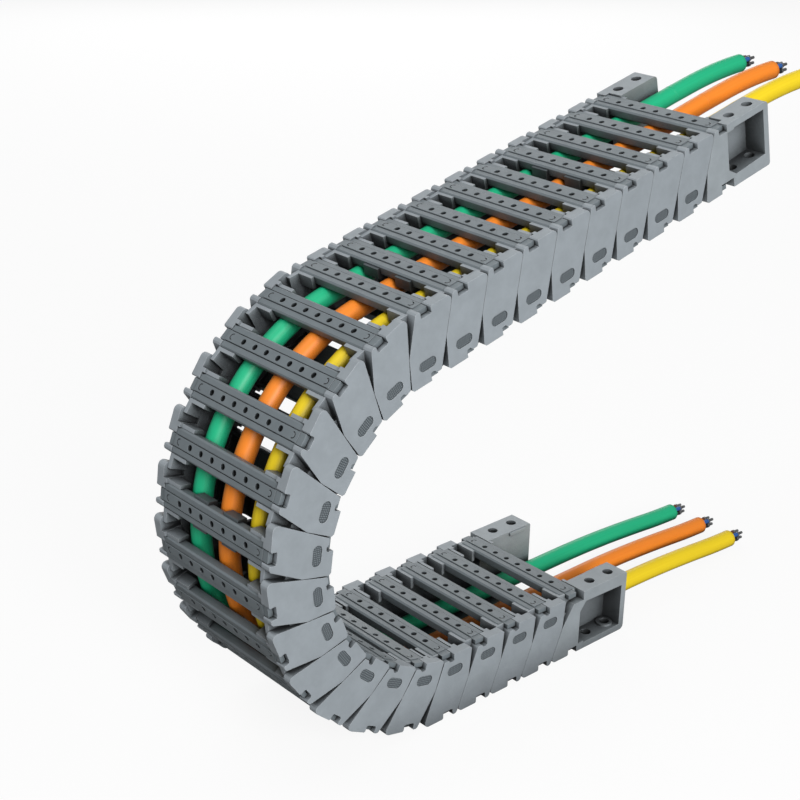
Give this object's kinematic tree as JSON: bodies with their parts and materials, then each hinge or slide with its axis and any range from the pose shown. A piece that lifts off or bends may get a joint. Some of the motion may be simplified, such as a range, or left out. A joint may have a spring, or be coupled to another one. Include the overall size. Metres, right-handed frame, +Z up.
{
  "type": "cable drag chain",
  "caption": "Open plastic cable drag chain with hinged links, snap-in crossbars, separators and end brackets, carrying round cables round its bend.",
  "frame": {"origin": "centre of the rectangle of screw holes of the fixed end, on the mounting face", "axes": "+Z up off the mounting face, +X along the chain towards the side where the cables leave the fixed end, +Y across the chain"},
  "size_m": [0.3478, 0.076, 0.2505],
  "materials": {
    "link_grey": "fine matt moulded polyamide",
    "bar_grey": "fine matt moulded polyamide",
    "bracket_grey": "fine matt moulded polyamide",
    "separator_grey": "fine matt moulded polyamide",
    "jacket_yellow": "smooth satin cable jacket",
    "jacket_orange": "smooth satin cable jacket",
    "jacket_green": "smooth satin cable jacket"
  },
  "bodies": {
    "base": {"fixed_bracket_left": "bracket_grey", "fixed_bracket_right": "bracket_grey", "fixed_bracket_crossbars": "bar_grey", "cable_yellow": "jacket_yellow", "cable_orange": "jacket_orange", "cable_green": "jacket_green"},
    "link_01": {"link_01_side_plates": "link_grey", "link_01_crossbars": "bar_grey"},
    "link_02": {"link_02_side_plates": "link_grey", "link_02_crossbars": "bar_grey"},
    "link_03": {"link_03_side_plates": "link_grey", "link_03_crossbars": "bar_grey"},
    "link_04": {"link_04_side_plates": "link_grey", "link_04_crossbars": "bar_grey"},
    "link_05": {"link_05_side_plates": "link_grey", "link_05_crossbars": "bar_grey"},
    "link_06": {"link_06_side_plates": "link_grey", "link_06_crossbars": "bar_grey"},
    "link_07": {"link_07_side_plates": "link_grey", "link_07_crossbars": "bar_grey"},
    "link_08": {"link_08_side_plates": "link_grey", "link_08_crossbars": "bar_grey"},
    "link_09": {"link_09_side_plates": "link_grey", "link_09_crossbars": "bar_grey"},
    "link_10": {"link_10_side_plates": "link_grey", "link_10_crossbars": "bar_grey"},
    "link_11": {"link_11_side_plates": "link_grey", "link_11_crossbars": "bar_grey", "link_11_separators": "separator_grey"},
    "link_12": {"link_12_side_plates": "link_grey", "link_12_crossbars": "bar_grey"},
    "link_13": {"link_13_side_plates": "link_grey", "link_13_crossbars": "bar_grey"},
    "link_14": {"link_14_side_plates": "link_grey", "link_14_crossbars": "bar_grey"},
    "link_15": {"link_15_side_plates": "link_grey", "link_15_crossbars": "bar_grey"},
    "link_16": {"link_16_side_plates": "link_grey", "link_16_crossbars": "bar_grey"},
    "link_17": {"link_17_side_plates": "link_grey", "link_17_crossbars": "bar_grey", "link_17_separators": "separator_grey"},
    "link_18": {"link_18_side_plates": "link_grey", "link_18_crossbars": "bar_grey"},
    "link_19": {"link_19_side_plates": "link_grey", "link_19_crossbars": "bar_grey"},
    "link_20": {"link_20_side_plates": "link_grey", "link_20_crossbars": "bar_grey"},
    "link_21": {"link_21_side_plates": "link_grey", "link_21_crossbars": "bar_grey"},
    "link_22": {"link_22_side_plates": "link_grey", "link_22_crossbars": "bar_grey", "link_22_separators": "separator_grey"},
    "link_23": {"link_23_side_plates": "link_grey", "link_23_crossbars": "bar_grey"},
    "link_24": {"link_24_side_plates": "link_grey", "link_24_crossbars": "bar_grey"},
    "moving_bracket": {"moving_bracket_left": "bracket_grey", "moving_bracket_right": "bracket_grey", "moving_bracket_crossbars": "bar_grey"}
  },
  "joints": [
    {"name": "hinge_01", "type": "hinge", "parent": "base", "child": "link_01", "pos_m": [-0.0297, 0, 0.0168], "axis": [0, 1, 0], "range_deg": [0, 13.85], "deforming": ["cable_yellow", "cable_orange", "cable_green"]},
    {"name": "hinge_02", "type": "hinge", "parent": "link_01", "child": "link_02", "pos_m": [-0.0497, 0, 0.0168], "axis": [0, 1, 0], "range_deg": [0, 13.85], "deforming": ["cable_yellow", "cable_orange", "cable_green"]},
    {"name": "hinge_03", "type": "hinge", "parent": "link_02", "child": "link_03", "pos_m": [-0.0697, 0, 0.0168], "axis": [0, 1, 0], "range_deg": [0, 13.85], "deforming": ["cable_yellow", "cable_orange", "cable_green"]},
    {"name": "hinge_04", "type": "hinge", "parent": "link_03", "child": "link_04", "pos_m": [-0.0897, 0, 0.0168], "axis": [0, 1, 0], "range_deg": [0, 13.85], "deforming": ["cable_yellow", "cable_orange", "cable_green"]},
    {"name": "hinge_05", "type": "hinge", "parent": "link_04", "child": "link_05", "pos_m": [-0.1097, 0, 0.0168], "axis": [0, 1, 0], "range_deg": [-13.85, 0], "deforming": ["cable_yellow", "cable_orange", "cable_green"]},
    {"name": "hinge_06", "type": "hinge", "parent": "link_05", "child": "link_06", "pos_m": [-0.12912, 0, 0.02159], "axis": [0, 1, 0], "range_deg": [-13.85, 0], "deforming": ["cable_yellow", "cable_orange", "cable_green"]},
    {"name": "hinge_07", "type": "hinge", "parent": "link_06", "child": "link_07", "pos_m": [-0.14683, 0, 0.03088], "axis": [0, 1, 0], "range_deg": [-13.85, 0], "deforming": ["cable_yellow", "cable_orange", "cable_green"]},
    {"name": "hinge_08", "type": "hinge", "parent": "link_07", "child": "link_08", "pos_m": [-0.16179, 0, 0.04415], "axis": [0, 1, 0], "range_deg": [-13.85, 0], "deforming": ["cable_yellow", "cable_orange", "cable_green"]},
    {"name": "hinge_09", "type": "hinge", "parent": "link_08", "child": "link_09", "pos_m": [-0.17315, 0, 0.06061], "axis": [0, 1, 0], "range_deg": [-13.85, 0], "deforming": ["cable_yellow", "cable_orange", "cable_green"]},
    {"name": "hinge_10", "type": "hinge", "parent": "link_09", "child": "link_10", "pos_m": [-0.18024, 0, 0.07931], "axis": [0, 1, 0], "range_deg": [-13.85, 0], "deforming": ["cable_yellow", "cable_orange", "cable_green"]},
    {"name": "hinge_11", "type": "hinge", "parent": "link_10", "child": "link_11", "pos_m": [-0.18264, 0, 0.09917], "axis": [0, 1, 0], "range_deg": [-13.85, 0], "deforming": ["cable_yellow", "cable_orange", "cable_green"]},
    {"name": "hinge_12", "type": "hinge", "parent": "link_11", "child": "link_12", "pos_m": [-0.18022, 0, 0.11902], "axis": [0, 1, 0], "range_deg": [-13.85, 0], "deforming": ["cable_yellow", "cable_orange", "cable_green"]},
    {"name": "hinge_13", "type": "hinge", "parent": "link_12", "child": "link_13", "pos_m": [-0.17312, 0, 0.13772], "axis": [0, 1, 0], "range_deg": [-13.85, 0], "deforming": ["cable_yellow", "cable_orange", "cable_green"]},
    {"name": "hinge_14", "type": "hinge", "parent": "link_13", "child": "link_14", "pos_m": [-0.16175, 0, 0.15417], "axis": [0, 1, 0], "range_deg": [-13.85, 0], "deforming": ["cable_yellow", "cable_orange", "cable_green"]},
    {"name": "hinge_15", "type": "hinge", "parent": "link_14", "child": "link_15", "pos_m": [-0.14677, 0, 0.16742], "axis": [0, 1, 0], "range_deg": [-13.85, 0], "deforming": ["cable_yellow", "cable_orange", "cable_green"]},
    {"name": "hinge_16", "type": "hinge", "parent": "link_15", "child": "link_16", "pos_m": [-0.12905, 0, 0.17671], "axis": [0, 1, 0], "range_deg": [-13.85, 0], "deforming": ["cable_yellow", "cable_orange", "cable_green"]},
    {"name": "hinge_17", "type": "hinge", "parent": "link_16", "child": "link_17", "pos_m": [-0.10963, 0, 0.18148], "axis": [0, 1, 0], "range_deg": [0, 13.85], "deforming": ["cable_yellow", "cable_orange", "cable_green"]},
    {"name": "hinge_18", "type": "hinge", "parent": "link_17", "child": "link_18", "pos_m": [-0.0902, 0, 0.18625], "axis": [0, 1, 0], "range_deg": [0, 13.85], "deforming": ["cable_yellow", "cable_orange", "cable_green"]},
    {"name": "hinge_19", "type": "hinge", "parent": "link_18", "child": "link_19", "pos_m": [-0.07078, 0, 0.19102], "axis": [0, 1, 0], "range_deg": [0, 13.85], "deforming": ["cable_yellow", "cable_orange", "cable_green"]},
    {"name": "hinge_20", "type": "hinge", "parent": "link_19", "child": "link_20", "pos_m": [-0.05136, 0, 0.19579], "axis": [0, 1, 0], "range_deg": [0, 13.85], "deforming": ["cable_yellow", "cable_orange", "cable_green"]},
    {"name": "hinge_21", "type": "hinge", "parent": "link_20", "child": "link_21", "pos_m": [-0.03194, 0, 0.20056], "axis": [0, 1, 0], "range_deg": [0, 13.85], "deforming": ["cable_yellow", "cable_orange", "cable_green"]},
    {"name": "hinge_22", "type": "hinge", "parent": "link_21", "child": "link_22", "pos_m": [-0.01252, 0, 0.20533], "axis": [0, 1, 0], "range_deg": [0, 13.85], "deforming": ["cable_yellow", "cable_orange", "cable_green"]},
    {"name": "hinge_23", "type": "hinge", "parent": "link_22", "child": "link_23", "pos_m": [0.00691, 0, 0.2101], "axis": [0, 1, 0], "range_deg": [0, 13.85], "deforming": ["cable_yellow", "cable_orange", "cable_green"]},
    {"name": "hinge_24", "type": "hinge", "parent": "link_23", "child": "link_24", "pos_m": [0.02633, 0, 0.21487], "axis": [0, 1, 0], "range_deg": [0, 13.85], "deforming": ["cable_yellow", "cable_orange", "cable_green"]},
    {"name": "hinge_25", "type": "hinge", "parent": "link_24", "child": "moving_bracket", "pos_m": [0.04575, 0, 0.21964], "axis": [0, 1, 0], "range_deg": [0, 13.85], "deforming": ["cable_yellow", "cable_orange", "cable_green"]}
  ],
  "couplings": [
    {"joint": "hinge_13", "follows": "hinge_01", "ratio": -1},
    {"joint": "hinge_14", "follows": "hinge_02", "ratio": -1},
    {"joint": "hinge_15", "follows": "hinge_03", "ratio": -1},
    {"joint": "hinge_16", "follows": "hinge_04", "ratio": -1},
    {"joint": "hinge_17", "follows": "hinge_05", "ratio": -1},
    {"joint": "hinge_18", "follows": "hinge_06", "ratio": -1},
    {"joint": "hinge_19", "follows": "hinge_07", "ratio": -1},
    {"joint": "hinge_20", "follows": "hinge_08", "ratio": -1},
    {"joint": "hinge_21", "follows": "hinge_09", "ratio": -1},
    {"joint": "hinge_22", "follows": "hinge_10", "ratio": -1},
    {"joint": "hinge_23", "follows": "hinge_11", "ratio": -1},
    {"joint": "hinge_24", "follows": "hinge_12", "ratio": -1}
  ]
}
